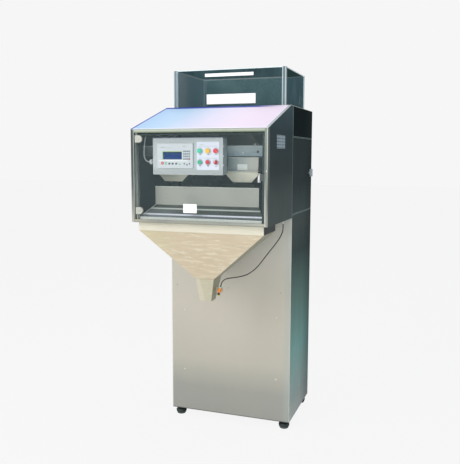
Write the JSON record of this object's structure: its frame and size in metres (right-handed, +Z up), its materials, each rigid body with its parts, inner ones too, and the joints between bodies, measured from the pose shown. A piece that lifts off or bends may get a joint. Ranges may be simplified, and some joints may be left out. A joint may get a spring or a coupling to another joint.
{
  "type": "weighing filling machine",
  "caption": "Free-standing weighing filling machine: supply hopper, vibrating trays, flap-bottom weigh buckets behind a glass door, filling funnel and control box.",
  "frame": {"origin": "on the floor under the middle of the machine's outline; y = 0 is the front face of the column", "axes": "+X to the viewer's right, +Y from the front to the back, +Z up"},
  "size_m": [0.72, 0.94, 1.968],
  "materials": {
    "acrylic": "clear acrylic sheet",
    "box_enamel": "light grey enamel",
    "bucket_steel": "brushed sheet with folded edges",
    "cable_black": "black sheath",
    "cable_grey": "pale grey sheath",
    "catch_plastic": "black magnet catch",
    "cell_aluminium": "milled bar",
    "clamp_steel": "pale satin clamps",
    "coil_case": "dark enamelled can",
    "collar_chrome": "bright collars",
    "controller_case": "cream front panel",
    "cover_steel": "stainless sheet with a bluish sheen",
    "dark_panel": "stainless sheet seen dark, at a low angle",
    "drive_case": "grey housings",
    "feeder_iron": "painted casting",
    "frame_steel": "bright brushed stainless",
    "funnel_steel": "satin sheet with a warm tone",
    "gland_nylon": "pale nylon glands",
    "glass": "clear tempered pane",
    "green_plastic": "green cap",
    "hardware_steel": "turned and pressed hardware",
    "hopper_edge": "pale angle trim",
    "inner_steel": "plain satin sheet",
    "lamp_lens": "coloured lenses in pale rims",
    "red_plastic": "red cap",
    "rubber": "black moulded rubber",
    "satin_steel": "satin brushed stainless sheet",
    "selector_plastic": "red knob with a pale line",
    "sensor_orange": "orange sensor body",
    "spring_steel": "leaf spring steel"
  },
  "bodies": {
    "machine": {"box_cable": "cable_grey", "cable_glands": "gland_nylon", "collecting_chute": "inner_steel", "column_frame": "frame_steel", "column_front_panel": "satin_steel", "control_box": "box_enamel", "control_box_lid": "box_enamel", "controller": "controller_case", "deck_plate": "frame_steel", "door_catch": "catch_plastic", "drive_units": "drive_case", "feeder_bases": "feeder_iron", "feeder_coils": "coil_case", "feeder_mounts": "rubber", "feeder_shelf": "inner_steel", "flap_solenoids": "coil_case", "foot_pads": "rubber", "front_crossbeam": "inner_steel", "funnel": "funnel_steel", "head_floor": "inner_steel", "head_frame": "frame_steel", "head_left_side": "dark_panel", "head_right_side": "dark_panel", "hopper_chutes": "inner_steel", "hopper_panels": "acrylic", "hopper_posts": "hopper_edge", "indicator_lamps": "lamp_lens", "leaf_springs": "spring_steel", "left_side_panel": "satin_steel", "left_weigh_bucket": "bucket_steel", "levelling_studs": "hardware_steel", "load_cells": "cell_aluminium", "panel_screws": "hardware_steel", "pivot_pins": "hardware_steel", "rear_panel": "satin_steel", "right_side_panel": "dark_panel", "right_top_panel": "dark_panel", "right_weigh_bucket": "bucket_steel", "sensor_cable": "cable_black", "sloped_cover": "cover_steel", "splash_plate": "inner_steel", "spout": "funnel_steel", "spout_sensor": "sensor_orange", "switch_collars": "collar_chrome", "weigher_crossbar": "inner_steel"},
    "front_door": {"glass_door": "glass", "door_clamps": "clamp_steel"},
    "side_door": {"side_door": "dark_panel"},
    "side_latch": {"side_latch": "hardware_steel"},
    "left_flap": {"left_flap": "bucket_steel", "left_flap_shaft": "hardware_steel"},
    "right_flap": {"right_flap": "bucket_steel", "right_flap_shaft": "hardware_steel"},
    "left_plunger": {"left_plunger": "hardware_steel"},
    "right_plunger": {"right_plunger": "hardware_steel"},
    "left_tray": {"left_feeder_tray": "inner_steel"},
    "right_tray": {"right_feeder_tray": "inner_steel"},
    "green_button": {"green_button": "green_plastic"},
    "red_button": {"red_button": "red_plastic"},
    "selector": {"selector_switch": "selector_plastic"}
  },
  "joints": [
    {"name": "front_door_hinge", "type": "hinge", "parent": "machine", "child": "front_door", "pos_m": [-0.324, -0.4615, 1.4], "axis": [0, 0, -1], "range_deg": [0, 100]},
    {"name": "side_door_hinge", "type": "hinge", "parent": "machine", "child": "side_door", "pos_m": [0.344, 0.011, 1.42], "axis": [0, 0, -1], "range_deg": [0, 110]},
    {"name": "latch_turn", "type": "hinge", "parent": "side_door", "child": "side_latch", "pos_m": [0.35, 0.412, 1.413], "axis": [-1, 0, 0], "range_deg": [0, 90]},
    {"name": "left_flap_hinge", "type": "hinge", "parent": "machine", "child": "left_flap", "pos_m": [-0.184, -0.3405, 1.437], "axis": [-1, 0, 0], "range_deg": [0, 50]},
    {"name": "right_flap_hinge", "type": "hinge", "parent": "machine", "child": "right_flap", "pos_m": [0.184, -0.3405, 1.437], "axis": [-1, 0, 0], "range_deg": [0, 50]},
    {"name": "left_plunger_slide", "type": "slide", "parent": "machine", "child": "left_plunger", "axis": [0, 0, -1], "range_m": [0, 0.0225]},
    {"name": "right_plunger_slide", "type": "slide", "parent": "machine", "child": "right_plunger", "axis": [0, 0, -1], "range_m": [0, 0.0225]},
    {"name": "left_tray_shake", "type": "slide", "parent": "machine", "child": "left_tray", "axis": [0, -0.9659, 0.2588], "range_m": [-0.001, 0.001], "stiffness_N_per_m": 30000, "deforming": ["leaf_springs"]},
    {"name": "right_tray_shake", "type": "slide", "parent": "machine", "child": "right_tray", "axis": [0, -0.9659, 0.2588], "range_m": [-0.001, 0.001], "stiffness_N_per_m": 30000, "deforming": ["leaf_springs"]},
    {"name": "green_button_press", "type": "slide", "parent": "machine", "child": "green_button", "axis": [0, 1, 0], "range_m": [0, 0.004], "stiffness_N_per_m": 400},
    {"name": "red_button_press", "type": "slide", "parent": "machine", "child": "red_button", "axis": [0, 1, 0], "range_m": [0, 0.004], "stiffness_N_per_m": 400},
    {"name": "selector_turn", "type": "hinge", "parent": "machine", "child": "selector", "pos_m": [0.077, -0.42, 1.479], "axis": [0, -1, 0], "range_deg": [-45, 45]}
  ],
  "couplings": [
    {"joint": "left_plunger_slide", "follows": "left_flap_hinge", "m_per_rad": 0.025183},
    {"joint": "right_plunger_slide", "follows": "right_flap_hinge", "m_per_rad": 0.025183}
  ]
}
